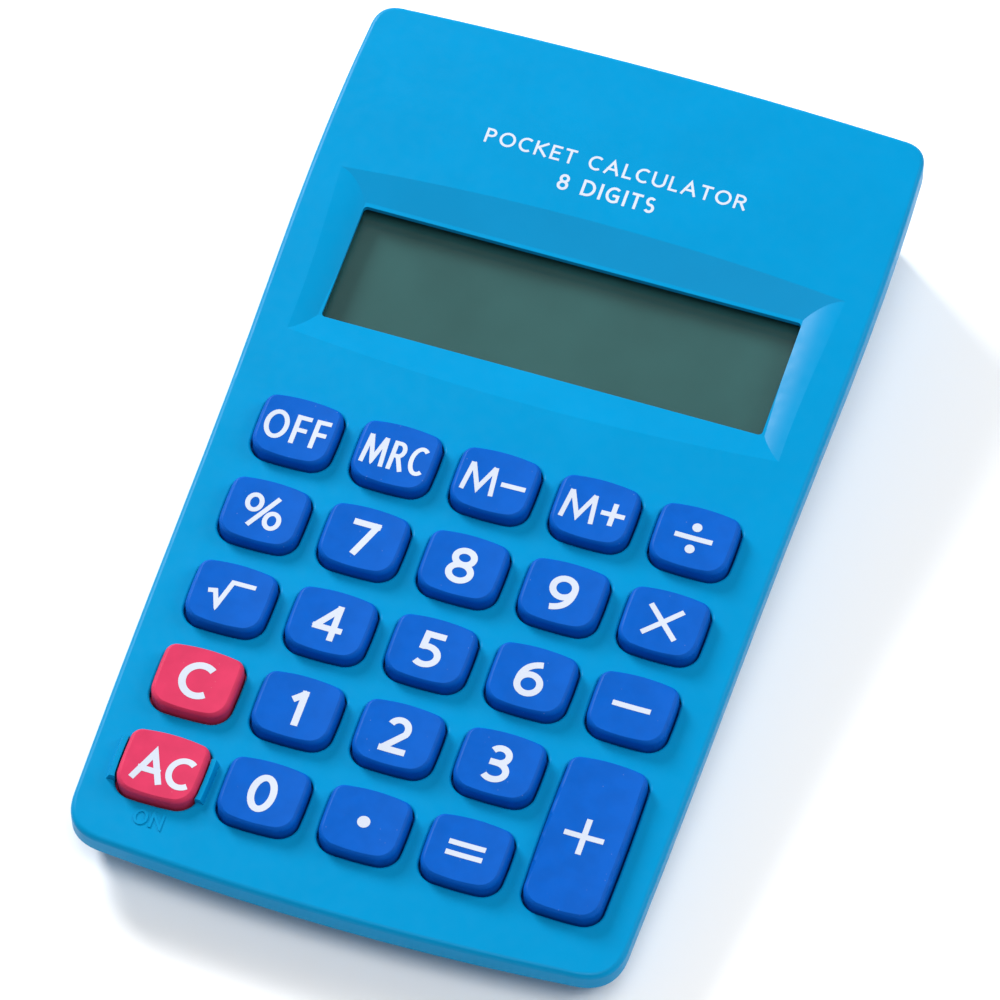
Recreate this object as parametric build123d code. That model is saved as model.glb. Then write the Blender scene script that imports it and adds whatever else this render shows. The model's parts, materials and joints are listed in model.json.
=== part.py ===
from build123d import *
from math import cos, radians, sin, tan
import os

# Pocket calculator: 118 x 68.5 x 18 mm, eight digits, 24 keys, one AA cell. Millimetres.
# The panel frame has its origin at the middle of the key panel, +X right, +Y towards the
# display and +Z out of the panel. Every piece is built there, then placed with its flat
# underside on Z = 0, which leans the panel towards the user by TILT.

# ---- driving dimensions -------------------------------------------------------------------
LENGTH = 118.0
WIDEST = 34.25          # half width at the display
TOP_BOW = 0.65          # how far the display end bows out
FRONT_BOW = 1.7         # how far the front end bows out
TOP_CORNER = 3.0
FRONT_CORNER = 4.6
SIDE = [(32.35, -57.1), (32.95, -28.0), (33.5, 5.0), (WIDEST, 34.0), (33.85, 58.0)]

TILT = 4.62             # lean of the panel, degrees
FRONT_DEPTH = 8.0       # panel to underside at the front end
RISE = 0.9              # height of the display end above the key panel
CROWN = 0.4             # drop of the panel at CROWN_AT from the middle
CROWN_AT = 30.0
RIM = 2.9               # depth of the front case's side wall
RIM_ROUND = 0.6
SIDE_WALL = 1.7
TOP_WALL = 1.4

REAR_INSET = 0.5        # the rear case is this much smaller at the parting line
REAR_WALL = 1.6
REAR_DRAFT = 10.0       # degrees
REAR_FRONT_SLOPE = 34.0 # the rear case slopes back this much under the front end, degrees
REAR_ROUND = 1.2

WINDOW = (53.1, 15.8)
WINDOW_Y = 23.3
WINDOW_Z = -1.0         # bottom of the dished surround
SLOPE_NEAR = 0.217      # slopes of the surround, rise over run
SLOPE_FAR = 0.337
LIP = 0.45              # thickness of the edge round the window
UNDERCUT = 1.0          # how far the recess behind that edge reaches
FRAME_Z = -2.2          # underside of the thick frame behind the window

KEY_W = 9.4
KEY_H = 8.35
PITCH_X = 11.85
PITCH_Y = 11.55
ROW_1_Y = -1.2
KEY_TOP = 1.65
KEY_GAP = 0.22
KEY_DISH = 0.2
KEY_ROUND = 0.75
MOUTH_ROUND = 0.3      # rounding of the case's edge round each key
RIB_TOP = 0.95          # the ribs by the AC key
RIB_WIDE = 0.53
RIB_FOOT = 1.15
FLANGE = 0.6            # the retaining flange stands out this far
FLANGE_TOP = -1.65
FLANGE_T = 0.7
PLUNGER_Z = -2.85
PLUNGER_R = 1.9

MAT_TOP = -4.4
DOME_GAP = 0.05
BOARD_Z = -5.0
BOARD_T = 1.0
BOARD_INSET = 2.9
BOARD_SHIFT = 2.0       # the board's front edge is this much further back
BOARD_END = 36.8

CELL_R = 7.1
CELL_L = 50.5
CELL_Y = 47.3
CELL_Z = -7.9
CELL_RELIEF = 0.25      # room above the cell, let into the front case
CONTACT = (3.6, 4.4)    # half sizes of a contact plate
SPRING_ROOM = 1.6

DOOR_HALF = 25.6
DOOR_RAIL = 0.5
DOOR_START = 39.6       # where the battery door begins, along Y
DOOR_T = 1.4
DOOR_HEIGHT = 8.0       # how far the door climbs the end wall
DOOR_GAP = 0.25

BOARD_SCREWS = [(-17.775, -6.975), (17.775, -6.975), (-5.925, -41.625), (5.925, -41.625)]
CASE_SCREWS = [(-28.5, 8.0), (28.5, 8.0), (-28.2, 52.9), (28.2, 52.9)]
POST_R = 2.1
CASE_JOIN_Z = -9.0      # where the front and rear screw posts meet

KEYS = [
    ["off", "mrc", "m_minus", "m_plus", "divide"],
    ["percent", "7", "8", "9", "multiply"],
    ["root", "4", "5", "6", "minus"],
    ["c", "1", "2", "3"],
    ["ac", "0", "point", "equals"],
]


# ---- helpers --------------------------------------------------------------------------------
def cross_point(p, u, q, v):
    """Where the line from p along u meets the line from q along v."""
    det = u.X * v.Y - u.Y * v.X
    t = ((q.X - p.X) * v.Y - (q.Y - p.Y) * v.X) / det
    return Vector(p.X + t * u.X, p.Y + t * u.Y)


def soft_corner(before, after):
    """A curve from the end of one edge to the start of the next, tangent to both."""
    p, q = before @ 1, after @ 0
    return Bezier(p, cross_point(p, before % 1, q, after % 0), q)


def case_outline(inset):
    """The calculator's plan, drawn in by inset, as a face on z = 0."""
    half = LENGTH / 2
    top_c = max(TOP_CORNER, inset + 0.8)
    front_c = max(FRONT_CORNER, inset + 0.8)
    side_y = [y for _, y in SIDE]
    side_y[0] = -half + FRONT_BOW + front_c
    side_y[-1] = half - TOP_BOW - top_c
    side = [(w - inset, y) for (w, _), y in zip(SIDE, side_y)]
    top_x = SIDE[-1][0] - top_c
    top_y = half - inset - TOP_BOW * (top_x / SIDE[-1][0]) ** 2
    front_x = SIDE[0][0] - front_c
    front_y = -half + inset + FRONT_BOW * (front_x / SIDE[0][0]) ** 2
    right = Spline(*side)
    top = ThreePointArc((top_x, top_y), (0, half - inset), (-top_x, top_y))
    left = Spline(*[(-x, y) for x, y in reversed(side)])
    front = ThreePointArc((-front_x, front_y), (0, -half + inset), (front_x, front_y))
    ring = [right, soft_corner(right, top), top, soft_corner(top, left)]
    ring += [left, soft_corner(left, front), front, soft_corner(front, right)]
    return make_face(Wire(ring))


def plate(face, low, high):
    """A flat face drawn on z = 0, made into a slab from low to high."""
    return Pos(0, 0, low) * extrude(face, high - low)


def post(x, y, radius, low, high):
    """An upright cylinder from low to high."""
    return Pos(x, y, low) * extrude(Circle(radius), high - low)


def slab(x, y, z):
    """A box given by its limits along each axis."""
    size = [b - a for a, b in (x, y, z)]
    middle = [(a + b) / 2 for a, b in (x, y, z)]
    return Pos(*middle) * Box(*size)


def crown(x):
    """Height of the panel's cross curve at x."""
    return -CROWN * (x / CROWN_AT) ** 2


def under_frame():
    """The underside: origin at its front edge, +Y along it, +Z up into the case."""
    return Pos(0, -LENGTH / 2, -FRONT_DEPTH) * Rot(-TILT, 0, 0)


def above_underside(clear):
    """A large block whose bottom lies clear above the underside."""
    block = slab((-60, 60), (-30, 150), (clear, 60))
    return under_frame() * block


def top_solid(drop):
    """Everything below the case's top surface, lowered by drop."""
    edge = crown(40)
    arc = ThreePointArc((-40, edge), (0, 0), (40, edge))
    base = Polyline((40, edge), (40, -25), (-40, -25), (-40, edge))
    section = Plane.XZ.offset(70) * make_face(Wire([arc] + base.edges()))
    path = Wire([
        Line((0, -70, 0), (0, 4, 0)),
        Bezier((0, 4, 0), (0, 20, 0), (0, 34, RISE), (0, 50, RISE)),
        Bezier((0, 50, RISE), (0, 56, RISE), (0, 62, 0.9 * RISE), (0, 70, 0.6 * RISE)),
    ])
    return Pos(0, 0, -drop) * sweep(section, path)


# ---- key shapes -----------------------------------------------------------------------------
def key_outline(height, grow):
    """A key's plan: bowed top, nearly square top corners and rounder lower ones."""
    w, low, h = KEY_W / 2 + grow, 0.24, height / 2 + grow
    bow = 0.5
    corners = [(-w + 0.12, h - bow), (w - 0.12, h - bow), (w - low, -h + 0.25), (-w + low, -h + 0.25)]
    middles = [(0, h), (w, 0.06 * height), (0, -h), (-w, 0.06 * height)]
    ring = []
    for i in range(4):
        ring.append(ThreePointArc(corners[i], middles[i], corners[(i + 1) % 4]))
    face = make_face(Wire(ring))
    upper = face.vertices().sort_by(Axis.Y)[-2:]
    face = fillet(upper, 1.35 + 0.6 * grow)
    lower = face.vertices().filter_by(lambda v: v.Y < -h + 0.6).sort_by(Axis.X)
    return fillet([lower[0], lower[-1]], 2.3 + 0.6 * grow)


def key_places():
    """Name, x, y and height of every key."""
    places = []
    for r, row in enumerate(KEYS):
        for c, name in enumerate(row):
            places.append((name, (c - 2) * PITCH_X, ROW_1_Y - r * PITCH_Y, KEY_H))
    tall = PITCH_Y + KEY_H
    places.append(("plus", 2 * PITCH_X, ROW_1_Y - 3.5 * PITCH_Y, tall))
    return places


def key(x, y, height):
    """A key: dished top, straight skirt, flange under the panel and a plunger."""
    cap = plate(key_outline(height, 0), FLANGE_TOP - FLANGE_T, KEY_TOP)
    dish_r = (KEY_W / 2) ** 2 / (2 * KEY_DISH)
    dish = Pos(0, 0, KEY_TOP - KEY_DISH + dish_r) * Rot(90, 0, 0) * Cylinder(dish_r, 2 * height)
    rim = cap.faces().sort_by(Axis.Z)[-1].edges()
    cap = fillet(rim, KEY_ROUND) - dish
    flange = plate(key_outline(height, FLANGE), FLANGE_TOP - FLANGE_T, FLANGE_TOP)
    plunger = post(0, 0, PLUNGER_R, PLUNGER_Z, FLANGE_TOP)
    return Pos(x, y, crown(x)) * (cap + flange + plunger)


# ---- case -----------------------------------------------------------------------------------
def surround():
    """The dished surround of the display: two crossing troughs, kept where they overlap."""
    wx, wy = WINDOW[0] / 2, WINDOW[1] / 2
    run, up = 12, 3
    near = (WINDOW_Y - wy - run, WINDOW_Z + run * SLOPE_NEAR)
    far = (WINDOW_Y + wy + run, WINDOW_Z + run * SLOPE_FAR)
    floor = [(WINDOW_Y - wy, WINDOW_Z), (WINDOW_Y + wy, WINDOW_Z)]
    along = Polyline(near, *floor, far, (far[0], far[1] + up), (near[0], far[1] + up), close=True)
    trough = extrude(Plane.YZ * make_face(along), amount=40, both=True)
    end, brow = (31.1, 0.05), (28.8, -0.24)
    right = ThreePointArc((wx, WINDOW_Z), brow, end)
    left = ThreePointArc((-end[0], end[1]), (-brow[0], brow[1]), (-wx, WINDOW_Z))
    lid = Polyline(end, (end[0] + 4, 6), (-end[0] - 4, 6), (-end[0], end[1]))
    base = Line((-wx, WINDOW_Z), (wx, WINDOW_Z))
    ends = make_face(Wire([base, right] + lid.edges() + [left]))
    bowl = Rot(1.15, 0, 0) * extrude(Plane.XZ * ends, amount=30, both=True)
    return trough & Pos(0, WINDOW_Y, 0) * bowl


def guard_ribs():
    """The two ribs that stand either side of the AC key and keep it from a stray press."""
    x, y = -2 * PITCH_X, ROW_1_Y - 4 * PITCH_Y
    foot = Pos(0, 0, -0.6) * key_outline(KEY_H, KEY_GAP + RIB_FOOT)
    head = Pos(0, 0, RIB_TOP) * key_outline(KEY_H, KEY_GAP + RIB_WIDE)
    outer = loft([foot, head], ruled=True)
    inner = plate(key_outline(KEY_H, KEY_GAP), -1, 2)
    reach = slab((-8, 8), (-2.7, 2.7), (-2, 3))
    return Pos(x, y, crown(x)) * ((outer - inner) & reach)


def cut_key_openings(shell):
    """Cuts an opening for every key and rounds its outer edge."""
    for _, x, y, height in key_places():
        shell -= Pos(x, y, 0) * plate(key_outline(height, KEY_GAP), -6, 4)
    mouths = []
    for _, x, y, height in key_places():
        for edge in shell.edges():
            c = edge.center()
            near = abs(c.X - x) < KEY_W / 2 + 0.7 and abs(c.Y - y) < height / 2 + 0.9
            if near and c.Z > crown(x) - 0.4:
                mouths.append(edge)
    return fillet(mouths, MOUTH_ROUND)


def front_case():
    """The upper shell, with its display surround, key openings and screw posts."""
    shell = plate(case_outline(0), -RIM, 4) & top_solid(0)
    far_edges = shell.edges().filter_by(lambda e: e.center().Z > -RIM + 1)
    rim = far_edges.filter_by(lambda e: abs(e.center().X) > 1 or abs(e.center().Y) > 57)
    shell = fillet(rim, RIM_ROUND)
    shell -= surround()
    shell = cut_key_openings(shell)
    hollow = plate(case_outline(SIDE_WALL), -RIM, 4) & top_solid(TOP_WALL)
    hollow -= slab((-31, 31), (11.5, 36.2), (FRAME_Z, 5))
    shell -= hollow
    opening = RectangleRounded(WINDOW[0], WINDOW[1], 0.5)
    shell -= Pos(0, WINDOW_Y, 0) * plate(opening, -8, 5)
    pocket = RectangleRounded(WINDOW[0] + 2 * UNDERCUT, WINDOW[1] + 2 * UNDERCUT, 1.0)
    shell -= Pos(0, WINDOW_Y, 0) * plate(pocket, -8, WINDOW_Z - LIP)
    shell += guard_ribs()
    relief = Rot(0, 90, 0) * Cylinder(CELL_R + CELL_RELIEF, CELL_L + 4)
    shell -= Pos(0, CELL_Y, CELL_Z) * relief
    for x, y in BOARD_SCREWS:
        shell += post(x, y, 1.4, BOARD_Z, crown(x) - TOP_WALL + 0.4)
        shell -= post(x, y, 0.6, BOARD_Z - 1, -2.2)
    for x, y in CASE_SCREWS:
        roof = crown(x) - TOP_WALL + (RISE if y > WINDOW_Y else 0)
        shell += post(x, y, POST_R - 0.1, CASE_JOIN_Z, roof + 0.4)
        shell -= post(x, y, 0.9, CASE_JOIN_Z - 1, -3.0)
    return shell


def front_slope(inset):
    """The case's plan swept down and back, so that the rear case slopes away under the front end."""
    lean = radians(REAR_FRONT_SLOPE)
    plan = Pos(0, 0, -RIM) * case_outline(inset)
    return extrude(plan, 22 / cos(lean), dir=(0, sin(lean), -cos(lean)))


def rear_body(inset):
    """The rear case's tapering form, down past the underside."""
    depth = 22
    taper = depth * tan(radians(REAR_DRAFT))
    upper = Pos(0, 0, -RIM) * case_outline(inset)
    lower = Pos(0, 0, -RIM - depth) * case_outline(inset + taper)
    return loft([upper, lower], ruled=True) & front_slope(inset)


def rear_outer():
    """The rear case's outside, with its bottom edge rounded."""
    body = rear_body(REAR_INSET) & above_underside(0)
    foot = body.faces().sort_by(Axis.Z)[0]
    bottom = body.faces().filter_by(lambda f: abs(f.area - foot.area) < 1e-3)
    return fillet(bottom[0].edges(), REAR_ROUND)


def door_block(gap):
    """The space of the battery door, grown by gap on the sides that face the case."""
    start = DOOR_START + LENGTH / 2 - gap
    block = slab((-DOOR_HALF - gap, DOOR_HALF + gap), (start, 140), (-2, DOOR_HEIGHT + gap))
    return under_frame() * block


def door_rails(gap):
    """The door's side rails, which run in grooves in the case."""
    start = DOOR_START + LENGTH / 2 + 1.5 - gap
    end = LENGTH + 6 if gap else start + 12.5
    half = DOOR_HALF + DOOR_RAIL + gap
    low, high = 0.5 - gap / 2, 1.05 + gap / 2
    return under_frame() * slab((-half, half), (start, end), (low, high))


def battery_cover(outer):
    """The door: a plate under the cell and the end wall that goes with it."""
    inner = rear_body(REAR_INSET + DOOR_T) & above_underside(DOOR_T)
    door = (outer - inner) & door_block(0)
    door += door_rails(0) - (inner & above_underside(DOOR_T))
    for i in range(5):
        y = DOOR_START + LENGTH / 2 + 5.0 + 1.5 * i
        door -= under_frame() * slab((-6, 6), (y, y + 0.7), (-1, 0.3))
    return door


def rear_case(outer):
    """The lower shell, with its tongue, screw posts and battery bay."""
    inner = rear_body(REAR_INSET + REAR_WALL) & above_underside(REAR_WALL)
    shell = outer - inner
    tongue = plate(case_outline(SIDE_WALL + 0.1), -RIM - 0.6, -RIM + 0.35)
    tongue -= plate(case_outline(SIDE_WALL + 0.85), -RIM - 1, -2)
    shell += tongue
    bay = slab((-31, 31), (37.8, 39.0), (-20, -2.4)) & rear_body(REAR_INSET + 0.4)
    shell += bay & above_underside(0.5)
    for side in (-1, 1):
        shell -= Pos(side * 27, 38.4, 0) * slab((-1.2, 1.2), (-2, 2), (-7.2, 0))
    for x, y in CASE_SCREWS:
        shell += post(x, y, POST_R, -20, CASE_JOIN_Z) & above_underside(0.4)
    shell -= door_block(DOOR_GAP)
    shell -= door_rails(0.1)
    for x, y in CASE_SCREWS:
        shell -= post(x, y, 1.6, -25, CASE_JOIN_Z - 1.2)
        shell -= post(x, y, 1.05, -12, CASE_JOIN_Z + 1)
    return shell


# ---- display --------------------------------------------------------------------------------
def display_stack():
    """The clear window and the liquid-crystal cell under it, from the front to the back."""
    y = WINDOW_Y
    layers = {}
    layers["display_window"] = slab((-28.4, 28.4), (y - 9.8, y + 9.8), (-3.0, FRAME_Z))
    layers["lcd_front_polariser"] = slab((-27.4, 27.4), (y - 9.4, y + 9.2), (-3.25, -3.05))
    layers["lcd_front_glass"] = slab((-28, 28), (y - 10.2, y + 12.2), (-3.95, -3.25))
    layers["lcd_rear_glass"] = slab((-28, 28), (y - 10.2, y + 9.2), (-4.65, -3.95))
    layers["lcd_reflector"] = slab((-27.4, 27.4), (y - 9.8, y + 8.8), (-4.85, -4.65))
    layers["zebra_connector"] = slab((-26, 26), (y + 9.9, y + 11.7), (BOARD_Z, -3.95))
    return layers


# ---- electronics ----------------------------------------------------------------------------
def circuit_board():
    """The board, notched round the posts that pass it."""
    face = Pos(0, BOARD_SHIFT) * case_outline(BOARD_INSET)
    board = plate(face, BOARD_Z - BOARD_T, BOARD_Z) & slab((-40, 40), (-60, BOARD_END), (-9, 0))
    for x, y in CASE_SCREWS[:2]:
        board -= post(x, y, POST_R + 0.3, -9, 0)
        notch = slab((0, 20), (-POST_R - 0.3, POST_R + 0.3), (-9, 0))
        board -= Pos(x, y, 0) * Rot(0, 0, 0 if x > 0 else 180) * notch
    for x, y in BOARD_SCREWS:
        board -= post(x, y, 0.8, -9, 0)
    return board


def contact_pads():
    """The printed switch pad under each key."""
    return [post(x, y, 2.1, BOARD_Z, BOARD_Z + 0.06) for _, x, y, _ in key_places()]


def keypad_mat():
    """The silicone sheet: a hollow dome under each key, holes for the posts."""
    outline = Pos(0, -24.3) * RectangleRounded(57.8, 57.8, 3)
    sheet = plate(outline, BOARD_Z, MAT_TOP)
    for x, y in BOARD_SCREWS:
        sheet -= post(x, y, 1.7, -9, 0)
    for _, x, y, _ in key_places():
        top = PLUNGER_Z + crown(x) - DOME_GAP
        tall = top - MAT_TOP
        sheet += Pos(x, y, MAT_TOP + tall / 2) * Cone(3.3, 2.2, tall)
        inside = tall + 0.6 - 0.45
        sheet -= Pos(x, y, BOARD_Z + inside / 2) * Cone(2.9, 1.6, inside)
    return sheet


def carbon_pills():
    """The conductive pill on the inside of each dome."""
    pills = []
    for _, x, y, _ in key_places():
        roof = PLUNGER_Z + crown(x) - DOME_GAP - 0.45
        pills.append(post(x, y, 1.5, roof - 0.3, roof))
    return pills


def chip_blob():
    """The epoxy drop over the processor, under the board."""
    ball = Pos(0, 0, 6.4) * Sphere(8.2)
    drop = ball & slab((-9, 9), (-9, 9), (-2, 0))
    return Pos(-4, 22, BOARD_Z - BOARD_T) * drop


def capacitor():
    """A small can capacitor lying under the board."""
    can = Rot(0, 90, 0) * Cylinder(2.0, 7.0)
    can = fillet(can.edges(), 0.35)
    return Pos(15, 27, BOARD_Z - BOARD_T - 2.0) * can


def resistors():
    """Three chip resistors under the board."""
    places = [(6, 14), (10, 14), (14, 14)]
    base = BOARD_Z - BOARD_T
    return [slab((x - 1, x + 1), (y - 0.6, y + 0.6), (base - 0.5, base)) for x, y in places]


# ---- battery --------------------------------------------------------------------------------
def battery_cell():
    """An AA cell lying across the display end, positive end to the right."""
    half = CELL_L / 2
    shoulder = half - 1.0
    outline = Polyline(
        (0, -half), (6.4, -half), (CELL_R, -half + 0.7), (CELL_R, shoulder - 0.7),
        (6.4, shoulder), (2.75, shoulder), (2.75, half - 0.2), (2.55, half), (0, half), close=True)
    cell = revolve(Plane.XZ * make_face(outline), Axis.Z)
    return Pos(0, CELL_Y, CELL_Z) * Rot(0, 90, 0) * cell


def contact_strip(x):
    """A contact plate beside the cell, with a tab that reaches the board."""
    size = 0.3
    wide, tall = CONTACT
    face = slab((x, x + size), (CELL_Y - wide, CELL_Y + wide), (CELL_Z - tall, CELL_Z + tall))
    tab = slab((x, x + size), (BOARD_END - 1.1, CELL_Y), (BOARD_Z, BOARD_Z + 2.0))
    return face + tab


def positive_contact():
    """A plate with a dimple that meets the cell's nub."""
    x = CELL_L / 2 + 0.6
    dimple = Pos(x, CELL_Y, CELL_Z) * Rot(0, -90, 0) * Pos(0, 0, 0.3) * Cone(2.2, 1.2, 0.6)
    return contact_strip(x) + dimple


def negative_contact():
    """The plate that carries the spring."""
    return contact_strip(-CELL_L / 2 - SPRING_ROOM - 0.3)


def battery_spring():
    """A coil between its plate and the cell's flat end, with closed ends."""
    wire, radius, turns = 0.22, 3.0, 2
    height = SPRING_ROOM - 2 * wire
    coil = Helix(height / turns, height, radius)
    section = Plane(coil @ 0, z_dir=coil % 0) * Circle(wire)
    spring = sweep(section, coil)
    start = -CELL_L / 2 - SPRING_ROOM + wire
    return Pos(start, CELL_Y, CELL_Z) * Rot(0, 90, 0) * spring


# ---- fasteners ------------------------------------------------------------------------------
def screw(x, y, seat, tip, head_r, shank_r):
    """A screw driven up from below: its head hangs under seat, its shank ends at tip."""
    head = fillet(post(x, y, head_r, seat - 1.0, seat).edges().sort_by(Axis.Z)[0], 0.35)
    body = head + post(x, y, shank_r, seat, tip)
    for turn in (0, 90):
        slot = slab((-head_r * 0.6, head_r * 0.6), (-0.18, 0.18), (seat - 2, seat - 0.55))
        body -= Pos(x, y, 0) * Rot(0, 0, turn) * slot
    return body


def case_screws():
    """Four screws that hold the two shells together."""
    return [screw(x, y, CASE_JOIN_Z - 1.2, -4.0, 1.5, 0.9) for x, y in CASE_SCREWS]


def board_screws():
    """Four screws that hold the board and the key sheet to the front case."""
    return [screw(x, y, BOARD_Z - BOARD_T, -3.0, 1.3, 0.6) for x, y in BOARD_SCREWS]


# ---- assembly -------------------------------------------------------------------------------
def as_compound(shape):
    """One shape from a solid, a list of solids or a result of Boolean work."""
    solids = []
    for item in shape if isinstance(shape, list) else [shape]:
        solids += item.solids()
    return solids[0] if len(solids) == 1 else Compound(solids)


def build_parts():
    """Every node, in the panel frame."""
    outer = rear_outer()
    parts = {"front_case": front_case(), "rear_case": rear_case(outer)}
    parts["battery_cover"] = battery_cover(outer)
    parts.update(display_stack())
    parts["circuit_board"] = circuit_board()
    parts["contact_pads"] = contact_pads()
    parts["keypad_mat"] = keypad_mat()
    parts["carbon_pills"] = carbon_pills()
    parts["chip_blob"] = chip_blob()
    parts["capacitor"] = capacitor()
    parts["resistors"] = resistors()
    parts["battery_cell"] = battery_cell()
    parts["positive_contact"] = positive_contact()
    parts["negative_contact"] = negative_contact()
    parts["battery_spring"] = battery_spring()
    parts["case_screws"] = case_screws()
    parts["board_screws"] = board_screws()
    for name, x, y, height in key_places():
        parts["key_" + name] = key(x, y, height)
    return {name: as_compound(shape) for name, shape in parts.items()}


def main():
    """Stands the calculator on its underside, centred on the origin, and writes every node."""
    os.makedirs("parts", exist_ok=True)
    lean = Rot(TILT, 0, 0)
    parts = {name: lean * shape for name, shape in build_parts().items()}
    box = Compound([s for p in parts.values() for s in p.solids()]).bounding_box()
    centre_y = (box.min.Y + box.max.Y) / 2
    for name, shape in parts.items():
        export_step(Pos(0, -centre_y, -box.min.Z) * shape, f"parts/{name}.step")
    print("panel origin", Vector(0, -centre_y, -box.min.Z), "size", box.size)


main()
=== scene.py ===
"""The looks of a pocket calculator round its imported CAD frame. Everything is in metres, in the row frame.

Print and raised letters are drawn in the panel frame: the key panel's own X and Y, with Z out of it, in
millimetres. PANEL turns a point of that frame into the row frame.
"""

import json
import math

import bmesh
import bpy
from mathutils import Matrix, Vector
from mathutils.bvhtree import BVHTree
from mathutils.geometry import delaunay_2d_cdt


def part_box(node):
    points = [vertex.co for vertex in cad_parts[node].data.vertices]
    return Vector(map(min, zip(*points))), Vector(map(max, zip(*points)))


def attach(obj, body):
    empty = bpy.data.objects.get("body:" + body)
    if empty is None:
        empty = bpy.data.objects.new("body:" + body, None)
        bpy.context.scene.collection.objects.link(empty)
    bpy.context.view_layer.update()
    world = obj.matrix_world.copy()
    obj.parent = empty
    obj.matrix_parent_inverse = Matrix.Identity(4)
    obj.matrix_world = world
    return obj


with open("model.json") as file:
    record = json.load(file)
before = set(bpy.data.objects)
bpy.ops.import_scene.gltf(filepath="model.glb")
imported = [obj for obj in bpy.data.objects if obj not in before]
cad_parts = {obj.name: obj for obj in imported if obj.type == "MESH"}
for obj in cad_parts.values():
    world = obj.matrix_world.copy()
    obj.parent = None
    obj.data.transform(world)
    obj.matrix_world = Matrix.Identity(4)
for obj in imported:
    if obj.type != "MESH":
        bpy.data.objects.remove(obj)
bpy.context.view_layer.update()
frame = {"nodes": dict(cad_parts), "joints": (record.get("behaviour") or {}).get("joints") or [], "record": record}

MM = 0.001
WINDOW_CENTRE = Vector((0, 23.3, -2.6))  # middle of the display window in the panel frame

# ---- the panel frame ------------------------------------------------------------------------
JOINTS = {j["name"]: j for j in frame["joints"]}
PRESS = Vector(JOINTS["press_8"]["axis"])
TILT = Matrix.Rotation(math.atan2(PRESS.y, -PRESS.z), 4, "X")
low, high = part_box("display_window")
ORIGIN = (low + high) / 2 - TILT @ (WINDOW_CENTRE * MM)
PANEL = Matrix.Translation(ORIGIN) @ TILT @ Matrix.Scale(MM, 4)
TO_PANEL = PANEL.inverted()


def surface_of(node):
    """A function that gives the height of a node's top at x, y of the panel frame."""
    mesh = frame["nodes"][node].data
    points = [TO_PANEL @ v.co for v in mesh.vertices]
    tree = BVHTree.FromPolygons(points, [p.vertices for p in mesh.polygons])

    def height(x, y):
        hit = tree.ray_cast(Vector((x, y, 20)), Vector((0, 0, -1)))[0]
        return hit.z if hit else 0.0

    return height


def key_centre(node):
    """Middle of a key in the panel frame."""
    points = [TO_PANEL @ v.co for v in frame["nodes"][node].data.vertices]
    xs = [p.x for p in points]
    ys = [p.y for p in points]
    return (min(xs) + max(xs)) / 2, (min(ys) + max(ys)) / 2


# ---- materials ------------------------------------------------------------------------------
def srgb(r, g, b):
    """A linear colour from the usual 0 to 255 numbers."""
    return tuple((c / 255) ** 2.2 for c in (r, g, b)) + (1.0,)


class Shader:
    """A Principled material with object coordinates and a few node helpers."""

    def __init__(self, name, **settings):
        self.material = bpy.data.materials.new(name)
        self.material.use_nodes = True
        self.tree = self.material.node_tree
        self.bsdf = self.tree.nodes["Principled BSDF"]
        self.coords = self.tree.nodes.new("ShaderNodeTexCoord").outputs["Object"]
        for socket, value in settings.items():
            self.bsdf.inputs[socket.replace("_", " ")].default_value = value

    def node(self, kind, **inputs):
        made = self.tree.nodes.new(kind)
        for name, value in inputs.items():
            made.inputs[name].default_value = value
        return made

    def link(self, source, target):
        self.tree.links.new(source, target)

    def noise(self, size_mm, detail=2.0):
        """Noise whose features are about size_mm across."""
        made = self.node("ShaderNodeTexNoise", Scale=1 / (size_mm * MM), Detail=detail)
        self.link(self.coords, made.inputs["Vector"])
        return made.outputs["Fac"]

    def ramp(self, source, low, high, a, b):
        """A colour that goes from a to b as source goes from low to high."""
        made = self.tree.nodes.new("ShaderNodeValToRGB")
        made.color_ramp.elements[0].position = low
        made.color_ramp.elements[0].color = a
        made.color_ramp.elements[1].position = high
        made.color_ramp.elements[1].color = b
        self.link(source, made.inputs["Fac"])
        return made.outputs["Color"]

    def spread(self, source, low, high):
        """A number that goes from low to high as source goes from 0.3 to 0.7."""
        made = self.tree.nodes.new("ShaderNodeMapRange")
        made.inputs["From Min"].default_value = 0.3
        made.inputs["From Max"].default_value = 0.7
        made.inputs["To Min"].default_value = low
        made.inputs["To Max"].default_value = high
        self.link(source, made.inputs["Value"])
        return made.outputs["Result"]

    def colour(self, socket):
        self.link(socket, self.bsdf.inputs["Base Color"])

    def roughness(self, low, high, size_mm):
        self.link(self.spread(self.noise(size_mm), low, high), self.bsdf.inputs["Roughness"])

    def bump(self, source, depth_mm, strength=1.0):
        made = self.node("ShaderNodeBump", Strength=strength, Distance=depth_mm * MM)
        self.link(source, made.inputs["Height"])
        self.link(made.outputs["Normal"], self.bsdf.inputs["Normal"])


def shade(colour, factor):
    """The colour made lighter or darker."""
    return tuple(min(1.0, c * factor) for c in colour[:3]) + (1.0,)


def moulded(name, colour, rough, grain_mm=0.16, depth_mm=0.004, vary=0.05, **settings):
    """Moulded plastic or rubber: a slow drift of colour, a fine grain and uneven gloss."""
    s = Shader(name, **settings)
    s.colour(s.ramp(s.noise(9.0, 3.0), 0.35, 0.65, shade(colour, 1 - vary), shade(colour, 1 + vary)))
    s.roughness(rough - 0.05, rough + 0.05, 1.4)
    s.bump(s.noise(grain_mm, 1.0), depth_mm)
    return s.material


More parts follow.
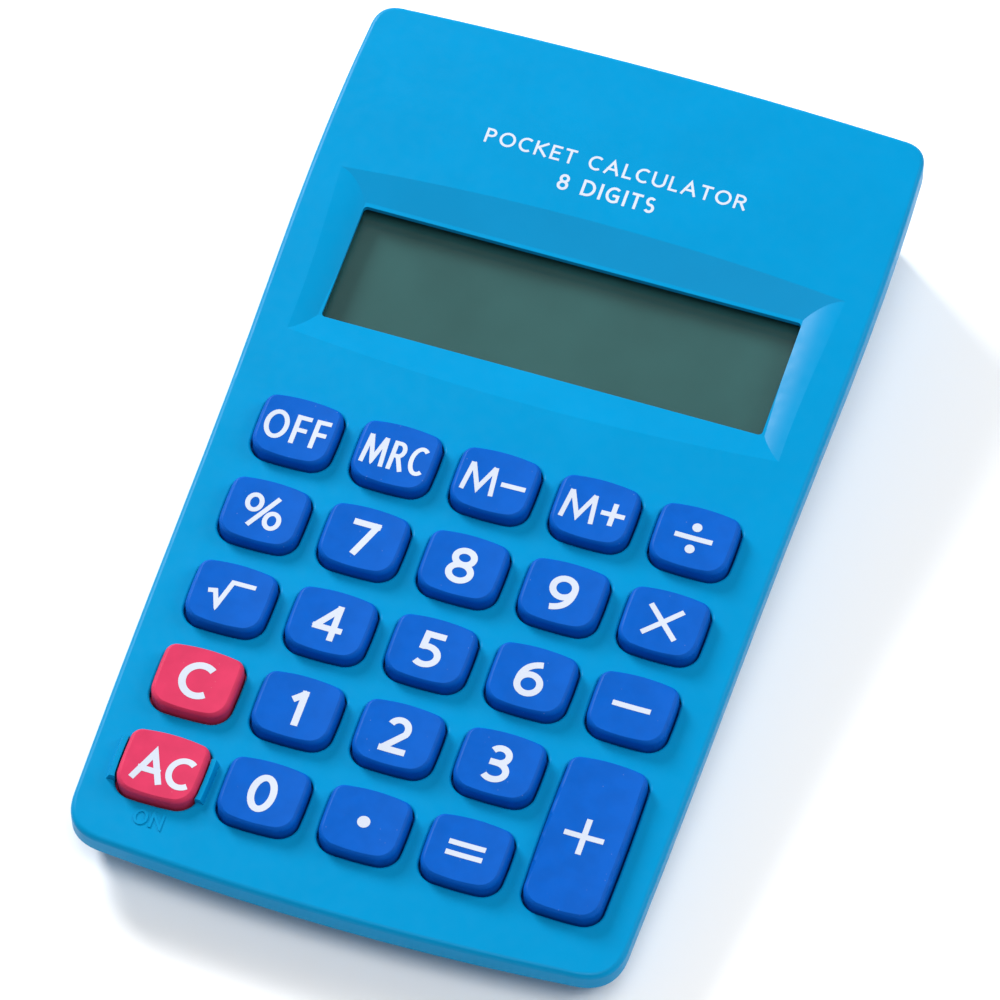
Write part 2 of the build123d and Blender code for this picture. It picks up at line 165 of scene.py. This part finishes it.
def dusty_silicone(name, colour):
    """Matte silicone with its soft sheen and a scatter of fine pale dust."""
    s = Shader(name, Roughness=0.5, Specular_IOR_Level=0.08)
    base = s.ramp(s.noise(2.6, 3.0), 0.35, 0.65, shade(colour, 0.95), shade(colour, 1.05))
    cells = s.node("ShaderNodeTexVoronoi", Scale=1 / (1.3 * MM), Randomness=1.0)
    s.link(s.coords, cells.inputs["Vector"])
    specks = s.ramp(cells.outputs["Distance"], 0.02, 0.05, (0.3, 0.3, 0.3, 1), (0, 0, 0, 1))
    mix = s.tree.nodes.new("ShaderNodeMix")
    mix.data_type = "RGBA"
    s.link(specks, mix.inputs["Factor"])
    s.link(base, mix.inputs["A"])
    pale = tuple(0.6 * c + 0.4 for c in colour[:3]) + (1.0,)
    mix.inputs["B"].default_value = pale
    s.colour(mix.outputs["Result"])
    s.roughness(0.44, 0.56, 0.9)
    s.bump(s.noise(0.11, 1.0), 0.003)
    return s.material


def metal(name, colour, rough, brushed_mm=0.05):
    """Plated or rolled metal with fine marks."""
    s = Shader(name, Metallic=1.0)
    s.colour(s.ramp(s.noise(1.5), 0.3, 0.7, shade(colour, 0.88), shade(colour, 1.05)))
    s.roughness(rough - 0.06, rough + 0.08, 0.6)
    s.bump(s.noise(brushed_mm, 1.0), 0.002)
    return s.material


GLOSS_SHARE = 0.045  # what a clear sheet reflects


def clear(name, tint, rough):
    """A clear sheet: mostly let through, with a soft reflection."""
    s = Shader(name)
    s.tree.nodes.remove(s.bsdf)
    through = s.node("ShaderNodeBsdfTransparent")
    s.link(s.ramp(s.noise(7.0), 0.3, 0.7, shade(tint, 0.985), shade(tint, 1.015)), through.inputs["Color"])
    gloss = s.node("ShaderNodeBsdfGlossy")
    s.link(s.spread(s.noise(3.0), max(0.0, rough - 0.02), rough + 0.03), gloss.inputs["Roughness"])
    mix = s.tree.nodes.new("ShaderNodeMixShader")
    mix.inputs["Fac"].default_value = GLOSS_SHARE
    s.link(through.outputs["BSDF"], mix.inputs[1])
    s.link(gloss.outputs["BSDF"], mix.inputs[2])
    out = s.tree.nodes["Material Output"]
    s.link(mix.outputs["Shader"], out.inputs["Surface"])
    return s.material


CASE = (0.0, 0.235, 0.49, 1)
KEY_BLUE = (0.0, 0.088, 0.44, 1)
KEY_PINK = (0.56, 0.035, 0.1, 1)
INK = (0.52, 0.57, 0.67, 1)
POLARISER = (0.03, 0.105, 0.105, 1)

case_plastic = moulded(
    "case_plastic", CASE, 0.36, grain_mm=0.14, depth_mm=0.002, vary=0.02, Specular_IOR_Level=0.07
)
blue_silicone = dusty_silicone("blue_silicone", KEY_BLUE)
pink_silicone = dusty_silicone("pink_silicone", KEY_PINK)
white_ink = moulded("white_ink", INK, 0.5, grain_mm=0.08, depth_mm=0.004, vary=0.03)
window_clear = clear("window_clear", (0.93, 0.96, 0.955, 1), 0.03)
polariser = moulded(
    "polariser", POLARISER, 0.5, grain_mm=0.3, depth_mm=0.0005, vary=0.04, Specular_IOR_Level=0.1
)
lcd_glass = clear("lcd_glass", (0.85, 0.93, 0.9, 1), 0.02)
reflector = moulded("reflector", srgb(150, 165, 155), 0.35, vary=0.03)
zebra = moulded("zebra_rubber", srgb(215, 213, 205), 0.6)
solder_mask = moulded("solder_mask", srgb(22, 92, 50), 0.35, grain_mm=0.4, vary=0.12)
carbon = moulded("carbon", srgb(28, 28, 30), 0.6, vary=0.15)
mat_rubber = moulded("mat_rubber", srgb(205, 208, 210), 0.55, vary=0.04)
epoxy = moulded("black_epoxy", srgb(20, 20, 22), 0.25, grain_mm=0.6, vary=0.2)
can = metal("capacitor_can", srgb(205, 206, 210), 0.3)
jacket = moulded("cell_jacket", srgb(150, 152, 158), 0.28, grain_mm=0.5, vary=0.06)
nickel = metal("nickel", srgb(205, 200, 190), 0.22)
zinc = metal("zinc", srgb(150, 152, 158), 0.32)

SLOT_MATERIALS = {
    "case_blue": case_plastic,
    "key_blue": blue_silicone,
    "key_pink": pink_silicone,
    "clear_window": window_clear,
    "lcd_polariser": polariser,
    "lcd_glass": lcd_glass,
    "lcd_reflector": reflector,
    "connector_rubber": zebra,
    "board_green": solder_mask,
    "carbon_ink": carbon,
    "mat_silicone": mat_rubber,
    "black_epoxy": epoxy,
    "can_aluminium": can,
    "cell_jacket": jacket,
    "contact_steel": nickel,
    "screw_steel": zinc,
}


SLOTS = {s["node"]: s["material_slot"] for s in frame["record"]["subparts"]}


def finish_cad_nodes():
    """Gives every CAD node the material of its slot."""
    for name, obj in frame["nodes"].items():
        made = SLOT_MATERIALS[SLOTS[name]]
        if not obj.material_slots:
            obj.data.materials.append(made)
        for s in obj.material_slots:
            s.material = made


# ---- lettering ------------------------------------------------------------------------------
# A glyph is a list of strokes, and a stroke is the points of its middle line in a unit box.
# "ring" marks a closed stroke.
def arc(cx, cy, rx, ry, start, end, steps=28):
    """Points along an ellipse, from one angle to another in degrees."""
    angles = [math.radians(start + (end - start) * i / steps) for i in range(steps + 1)]
    return [(cx + rx * math.cos(a), cy + ry * math.sin(a)) for a in angles]


def bend(a, control, b, steps=12):
    """Points along a curve from a to b, pulled towards control."""
    points = []
    for i in range(steps + 1):
        t = i / steps
        x = (1 - t) ** 2 * a[0] + 2 * t * (1 - t) * control[0] + t * t * b[0]
        y = (1 - t) ** 2 * a[1] + 2 * t * (1 - t) * control[1] + t * t * b[1]
        points.append((x, y))
    return points


SIX = [arc(0.5, 0.31, 0.5, 0.31, 0, 360)[:-1] + ["ring"], bend((0.0, 0.33), (0.0, 0.92), (0.86, 1.0))]
NINE = [
    arc(0.5, 0.69, 0.5, 0.31, 0, 360)[:-1] + ["ring"],
    bend((1.0, 0.67), (1.0, 0.08), (0.14, 0.0)),
]
GLYPHS = {
    "0": [arc(0.5, 0.5, 0.5, 0.5, 0, 360)[:-1] + ["ring"]],
    "1": [[(0.1, 0.8), (0.9, 0.98)], [(1.0, 1.0), (1.0, 0.0)]],
    "2": [arc(0.48, 0.71, 0.46, 0.29, 158, -28) + [(0.06, 0.04)], [(0.0, 0.0), (1.0, 0.0)]],
    "3": [
        arc(0.45, 0.765, 0.45, 0.235, 150, -90) + [(0.22, 0.53)],
        arc(0.42, 0.265, 0.58, 0.265, 90, -140),
    ],
    "4": [[(0.76, 0.0), (0.76, 1.0)], [(0.72, 0.97), (0.02, 0.33)], [(0.0, 0.29), (1.0, 0.29)]],
    "5": [[(0.93, 1.0), (0.16, 1.0), (0.12, 0.58)] + arc(0.38, 0.3, 0.62, 0.3, 112, -132)],
    "6": SIX,
    "7": [[(0.0, 1.0), (1.0, 1.0)], [(0.98, 0.98), (0.36, 0.0)]],
    "8": [
        arc(0.5, 0.765, 0.43, 0.235, 0, 360)[:-1] + ["ring"],
        arc(0.5, 0.265, 0.5, 0.265, 0, 360)[:-1] + ["ring"],
    ],
    "9": NINE,
    "A": [[(0.0, 0.0), (0.5, 1.0), (1.0, 0.0)], [(0.17, 0.34), (0.83, 0.34)]],
    "C": [arc(0.62, 0.5, 0.62, 0.5, 52, 308)],
    "D": [[(0.0, 0.0), (0.0, 1.0), (0.35, 1.0)] + arc(0.35, 0.5, 0.65, 0.5, 90, -90) + [(0.0, 0.0)]],
    "E": [[(1.0, 0.0), (0.0, 0.0), (0.0, 1.0), (1.0, 1.0)], [(0.0, 0.52), (0.88, 0.52)]],
    "F": [[(0.0, 0.0), (0.0, 1.0), (1.0, 1.0)], [(0.0, 0.5), (0.88, 0.5)]],
    "G": [arc(0.58, 0.5, 0.58, 0.5, 52, 296) + [(0.96, 0.1), (0.96, 0.46), (0.62, 0.46)]],
    "I": [[(0.5, 0.0), (0.5, 1.0)]],
    "K": [[(0.0, 0.0), (0.0, 1.0)], [(0.95, 1.0), (0.05, 0.5)], [(0.22, 0.6), (1.0, 0.0)]],
    "L": [[(0.0, 1.0), (0.0, 0.0), (1.0, 0.0)]],
    "M": [[(0.0, 0.0), (0.1, 1.0)], [(0.9, 1.0), (1.0, 0.0)], [(0.14, 1.0), (0.5, 0.1), (0.86, 1.0)]],
    "N": [[(0.0, 0.0), (0.0, 1.0), (1.0, 0.0), (1.0, 1.0)]],
    "O": [arc(0.5, 0.5, 0.5, 0.5, 0, 360)[:-1] + ["ring"]],
    "P": [[(0.0, 0.0), (0.0, 1.0), (0.45, 1.0)] + arc(0.45, 0.74, 0.5, 0.26, 90, -90) + [(0.0, 0.48)]],
    "R": [
        [(0.0, 0.0), (0.0, 1.0), (0.42, 1.0)] + arc(0.42, 0.75, 0.46, 0.25, 90, -90) + [(0.0, 0.5)],
        [(0.48, 0.5), (1.0, 0.0)],
    ],
    "S": [arc(0.5, 0.75, 0.46, 0.25, 40, 262) + arc(0.5, 0.26, 0.5, 0.26, 78, -146)],
    "T": [[(0.0, 1.0), (1.0, 1.0)], [(0.5, 1.0), (0.5, 0.0)]],
    "U": [[(0.0, 1.0), (0.0, 0.36)] + arc(0.5, 0.36, 0.5, 0.36, 180, 360) + [(1.0, 1.0)]],
    "%": [
        arc(0.19, 0.74, 0.19, 0.26, 0, 360)[:-1] + ["ring"],
        arc(0.81, 0.26, 0.19, 0.26, 0, 360)[:-1] + ["ring"],
        [(0.24, 0.0), (0.78, 1.0)],
    ],
    "root": [[(0.0, 0.5), (0.12, 0.54), (0.27, 0.0), (0.47, 1.0), (1.0, 1.0)]],
    "+": [[(0.0, 0.5), (1.0, 0.5)], [(0.5, 0.0), (0.5, 1.0)]],
    "-": [[(0.0, 0.5), (1.0, 0.5)]],
    "x": [[(0.0, 0.0), (1.0, 1.0)], [(0.0, 1.0), (1.0, 0.0)]],
    "=": [[(0.0, 0.0), (1.0, 0.0)], [(0.0, 1.0), (1.0, 1.0)]],
}


def square_end(points, end, inner, stroke):
    """Lengthens a straight end by half the stroke, so that it fills its box."""
    along = points[end] - points[inner]
    if along.length > 0.6 * stroke:
        points[end] = points[end] + along.normalized() * stroke / 2


def placed(glyph, x, y, w, h, stroke):
    """A glyph's strokes, fitted so that its ink fills w by h with its lower left corner at x, y."""
    strokes = []
    for line in GLYPHS[glyph]:
        closed = line[-1] == "ring"
        points = line[:-1] if closed else line
        inner_w = max(0.0, w - stroke)
        inner_h = max(0.0, h - stroke)
        made = []
        for px, py in points:
            point = Vector((x + stroke / 2 + px * inner_w, y + stroke / 2 + py * inner_h))
            if not made or (point - made[-1]).length > 1e-3:
                made.append(point)
        if not closed:
            square_end(made, 0, 1, stroke)
            square_end(made, -1, -2, stroke)
        strokes.append((made, closed))
    return strokes


def quad(a, b, stroke):
    """The rectangle of one straight piece of a stroke."""
    along = (b - a).normalized()
    side = Vector((-along.y, along.x)) * stroke / 2
    return [a + side, a - side, b - side, b + side]


def elbow(a, corner, b, stroke):
    """The patch that fills the outside of a stroke's corner: round on a curve, mitred at a sharp turn."""
    u, v = (corner - a).normalized(), (b - corner).normalized()
    turn = u.x * v.y - u.y * v.x
    if abs(turn) < 1e-4:
        return None
    side = -1 if turn > 0 else 1
    p = corner + Vector((-u.y, u.x)) * side * stroke / 2
    q = corner + Vector((-v.y, v.x)) * side * stroke / 2
    middle = (p + q) / 2 - corner
    reach = min((stroke / 2) ** 2 / middle.length, 1.25 * stroke)
    tip = corner + middle.normalized() * reach
    if reach < (stroke / 2) ** 2 / middle.length:
        return [corner, p, p + u * stroke * 0.5, tip, q - v * stroke * 0.5, q]
    return [corner, p, tip, q]


def stroke_shapes(points, closed, stroke):
    """Flat convex shapes that cover one stroke."""
    n = len(points)
    shapes = [quad(points[i], points[(i + 1) % n], stroke) for i in range(n if closed else n - 1)]
    for i in range(0 if closed else 1, n if closed else n - 1):
        patch = elbow(points[i - 1], points[i], points[(i + 1) % n], stroke)
        if patch:
            shapes.append(patch)
    return shapes


def disc_shape(x, y, radius):
    """A round dot."""
    return [Vector((x + radius * math.cos(a), y + radius * math.sin(a))) for a in
            (math.tau * i / 40 for i in range(40))]


def counter_clockwise(shape):
    """The same shape, wound the usual way."""
    area = sum(p.x * q.y - q.x * p.y for p, q in zip(shape, shape[1:] + shape[:1]))
    return shape if area > 0 else shape[::-1]


def grid_lines(points, step):
    """Lines step apart that cross the given points both ways, as pairs of ends."""
    xs = [p.x for p in points]
    ys = [p.y for p in points]
    low_x, high_x, low_y, high_y = min(xs) - 0.1, max(xs) + 0.1, min(ys) - 0.1, max(ys) + 0.1
    lines = []
    at = math.ceil(low_x / step) * step
    while at < high_x:
        lines.append((Vector((at, low_y)), Vector((at, high_y))))
        at += step
    at = math.ceil(low_y / step) * step
    while at < high_y:
        lines.append((Vector((low_x, at)), Vector((high_x, at))))
        at += step
    return lines


def raised(shapes, name, low, high, height, material, body, step=0.7):
    """One closed piece that covers the shapes, laid on a surface and fixed to a body."""
    points, faces, edges = [], [], []
    for shape in shapes:
        faces.append(list(range(len(points), len(points) + len(shape))))
        points += counter_clockwise(shape)
    for a, b in grid_lines(points, step):
        edges.append((len(points), len(points) + 1))
        points += [a, b]
    flat, _, triangles, _, _, sources = delaunay_2d_cdt(points, edges, faces, 0, 1e-5)
    kept = [t for t, source in zip(triangles, sources) if source]
    used = sorted({i for t in kept for i in t})
    bm = bmesh.new()
    heights = {i: height(flat[i].x, flat[i].y) for i in used}
    top = {i: bm.verts.new((flat[i].x, flat[i].y, heights[i] + high)) for i in used}
    base = {i: bm.verts.new((flat[i].x, flat[i].y, heights[i] + low)) for i in used}
    sides = {}
    for t in kept:
        bm.faces.new([top[i] for i in t])
        bm.faces.new([base[i] for i in reversed(t)])
        for a, b in zip(t, t[1:] + t[:1]):
            if (b, a) in sides:
                del sides[(b, a)]
            else:
                sides[(a, b)] = True
    for a, b in sides:
        bm.faces.new((top[b], top[a], base[a], base[b]))
    bmesh.ops.recalc_face_normals(bm, faces=bm.faces)
    bmesh.ops.transform(bm, matrix=PANEL, verts=bm.verts)
    mesh = bpy.data.meshes.new(name)
    bm.to_mesh(mesh)
    bm.free()
    mesh.materials.append(material)
    piece = bpy.data.objects.new(name, mesh)
    bpy.context.scene.collection.objects.link(piece)
    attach(piece, body)
    return piece


INK_HIGH = 0.022
INK_LOW = -0.03


def word_shapes(text, x, y, w, h, stroke, gap):
    """Shapes of a line of letters of equal height that fills w by h from x, y."""
    shares = [WIDTHS.get(c, OTHER_WIDTH) for c in text]
    unit = (w - gap * (len(text) - 1)) / sum(shares)
    shapes = []
    for c, share in zip(text, shares):
        if c != " ":
            for points, closed in placed(c, x, y, share * unit, h, stroke):
                shapes += stroke_shapes(points, closed, stroke)
        x += share * unit + gap
    return shapes


# How wide each letter is, as a share of its line.
WIDTHS = {
    " ": 0.34, "I": 0.2, "O": 0.86, "C": 0.7, "L": 0.5, "E": 0.54, "F": 0.54, "T": 0.62, "A": 0.8,
    "M": 0.98, "G": 0.78, "D": 0.76, "N": 0.76, "S": 0.56, "P": 0.58, "K": 0.68, "R": 0.64,
    "U": 0.74, "8": 0.62,
}
OTHER_WIDTH = 0.66

# Each legend: glyph, width, height and stroke in millimetres.
LEGENDS = {
    "7": ("7", 3.2, 4.6, 0.78), "8": ("8", 3.3, 4.75, 0.78), "9": ("9", 3.35, 4.75, 0.78),
    "4": ("4", 3.45, 4.65, 0.74), "5": ("5", 3.0, 4.7, 0.78), "6": ("6", 3.35, 4.75, 0.78),
    "1": ("1", 1.75, 4.6, 0.8), "2": ("2", 3.1, 4.7, 0.78), "3": ("3", 3.05, 4.8, 0.78),
    "0": ("0", 3.2, 4.85, 0.8), "c": ("C", 3.9, 4.8, 0.84),
    "percent": ("%", 4.8, 4.4, 0.56), "root": ("root", 5.1, 3.95, 0.56),
    "multiply": ("x", 4.05, 4.05, 0.62), "minus": ("-", 4.45, 0.66, 0.66),
    "plus": ("+", 4.6, 4.6, 0.66), "equals": ("=", 4.25, 2.0, 0.64),
}
# Each word: text, width, height, stroke and gap between letters in millimetres.
SHORT_WORDS = {
    "off": ("OFF", 7.5, 3.9, 0.56, 0.55),
    "mrc": ("MRC", 7.5, 3.9, 0.52, 0.42),
    "ac": ("AC", 6.9, 4.15, 0.72, 0.05),
}
M_BACK = 1.6     # the M of the memory keys, left of the middle
SIGN_ON = 2.3    # and its sign, right of it
DIVIDE_DOT_Y = 1.47
DIVIDE_DOT_R = 0.57
POINT_R = 0.74
LEGEND_SHIFT = Vector((-0.05, -0.12))
AC_SHIFT = Vector((0.4, -0.5))  # the AC legend sits this far off its key's middle

# Words printed above the display: name, text, lower edge, width, letter height and stroke.
PRINT = [
    ("print_title", "POCKET CALCULATOR", 43.0, 31.8, 2.0, 0.3),
    ("print_digits", "8 DIGITS", 39.3, 11.8, 2.2, 0.34),
]


def glyph_shapes(glyph, cx, cy, w, h, stroke):
    """Shapes of one glyph centred on a point."""
    shapes = []
    for points, closed in placed(glyph, cx - w / 2, cy - h / 2, w, h, stroke):
        shapes += stroke_shapes(points, closed, stroke)
    return shapes


def legend_shapes(name, cx, cy):
    """The ink of one key's legend."""
    if name in LEGENDS:
        return glyph_shapes(LEGENDS[name][0], cx, cy, *LEGENDS[name][1:])
    if name in SHORT_WORDS:
        text, w, h, stroke, gap = SHORT_WORDS[name]
        return word_shapes(text, cx - w / 2, cy - h / 2, w, h, stroke, gap)
    if name == "m_minus":
        letter = glyph_shapes("M", cx - M_BACK, cy, 3.95, 3.8, 0.55)
        return letter + glyph_shapes("-", cx + SIGN_ON, cy, 2.9, 0.6, 0.6)
    if name == "m_plus":
        letter = glyph_shapes("M", cx - M_BACK, cy, 4.05, 3.8, 0.55)
        return letter + glyph_shapes("+", cx + SIGN_ON, cy, 2.8, 3.0, 0.6)
    if name == "divide":
        dots = [disc_shape(cx, cy + side * DIVIDE_DOT_Y, DIVIDE_DOT_R) for side in (-1, 1)]
        return glyph_shapes("-", cx, cy, 4.45, 0.64, 0.64) + dots
    return [disc_shape(cx, cy, POINT_R)]


def key_legends():
    """Pad-printed legends, each laid on its key."""
    for node in sorted(n for n in frame["nodes"] if n.startswith("key_")):
        name = node[len("key_"):]
        cx, cy = key_centre(node)
        shift = AC_SHIFT if name == "ac" else LEGEND_SHIFT
        shapes = legend_shapes(name, cx + shift.x, cy + shift.y)
        top = surface_of(node)
        raised(shapes, "legend_" + name, INK_LOW, INK_HIGH, top, white_ink, node)


def panel_print():
    """Generic words printed above the display, and ON raised below the AC key."""
    top = surface_of("front_case")
    for name, text, y, width, height, stroke in PRINT:
        shapes = word_shapes(text, -width / 2, y, width, height, stroke, 0.42)
        raised(shapes, name, INK_LOW, INK_HIGH, top, white_ink, "case", 1.5)
    shapes = word_shapes("ON", -24.95, -54.6, 3.45, 1.95, 0.3, 0.3)
    raised(shapes, "raised_on", -0.1, 0.12, top, case_plastic, "case", 1.5)


# ---- stage, lights and camera ---------------------------------------------------------------
def stage():
    """A plain pale floor."""
    bpy.ops.mesh.primitive_plane_add(size=6, location=(0, 0, 0))
    floor = bpy.context.object
    floor.name = "floor"
    s = Shader("floor_paper", Roughness=0.9)
    s.colour(s.ramp(s.noise(400.0), 0.3, 0.7, (0.93, 0.93, 0.93, 1), (0.96, 0.96, 0.96, 1)))
    floor.data.materials.append(s.material)


def area_light(name, at, size, watts):
    """A soft square white light at a point in metres, aimed at the middle of the floor."""
    data = bpy.data.lights.new(name, "AREA")
    data.size = size
    data.energy = watts
    obj = bpy.data.objects.new(name, data)
    obj.location = at
    obj.rotation_euler = (-Vector(at)).to_track_quat("-Z", "Y").to_euler()
    bpy.context.scene.collection.objects.link(obj)


def lights():
    """Soft studio light, strongest from above the display end and to the left."""
    world = bpy.data.worlds.new("studio")
    bpy.context.scene.world = world
    world.use_nodes = True
    background = world.node_tree.nodes["Background"]
    background.inputs["Color"].default_value = (1, 1, 1, 1)
    background.inputs["Strength"].default_value = 0.3
    area_light("key_light", (-0.62, 0.48, 0.5), 0.3, 10.0)
    area_light("top_light", (0.15, -0.3, 0.9), 0.5, 4.5)
    area_light("side_light", (0.62, 0.35, 0.5), 0.4, 3.0)


AZIMUTH = math.radians(18.93)
ELEVATION = math.radians(58.64)
ROLL = math.radians(20.94)
DISTANCE = 907.26  # millimetres, like TARGET
TARGET = Vector((1.04, -2.49, 0))
LENS_MM = 288.0
SENSOR_MM = 36.0


def camera():
    """The camera, placed about the key panel."""
    back = Vector((math.sin(AZIMUTH) * math.cos(ELEVATION), -math.cos(AZIMUTH) * math.cos(ELEVATION),
                   math.sin(ELEVATION)))
    across = (-back).cross(Vector((0, 1, 0))).normalized()
    up = across.cross(-back)
    c, s = math.cos(ROLL), math.sin(ROLL)
    right = c * across + s * up
    top = -s * across + c * up
    rotation = Matrix((right, top, back)).transposed().to_4x4()
    data = bpy.data.cameras.new("camera")
    data.sensor_width = SENSOR_MM
    data.lens = LENS_MM
    data.clip_start = 0.05
    data.clip_end = 20
    obj = bpy.data.objects.new("camera", data)
    at = PANEL @ (TARGET + back * DISTANCE)
    obj.matrix_world = Matrix.Translation(at) @ TILT @ rotation
    bpy.context.scene.collection.objects.link(obj)
    bpy.context.scene.camera = obj


camera()
stage()
lights()
finish_cad_nodes()
key_legends()
panel_print()
bpy.context.scene.view_settings.view_transform = "Standard"
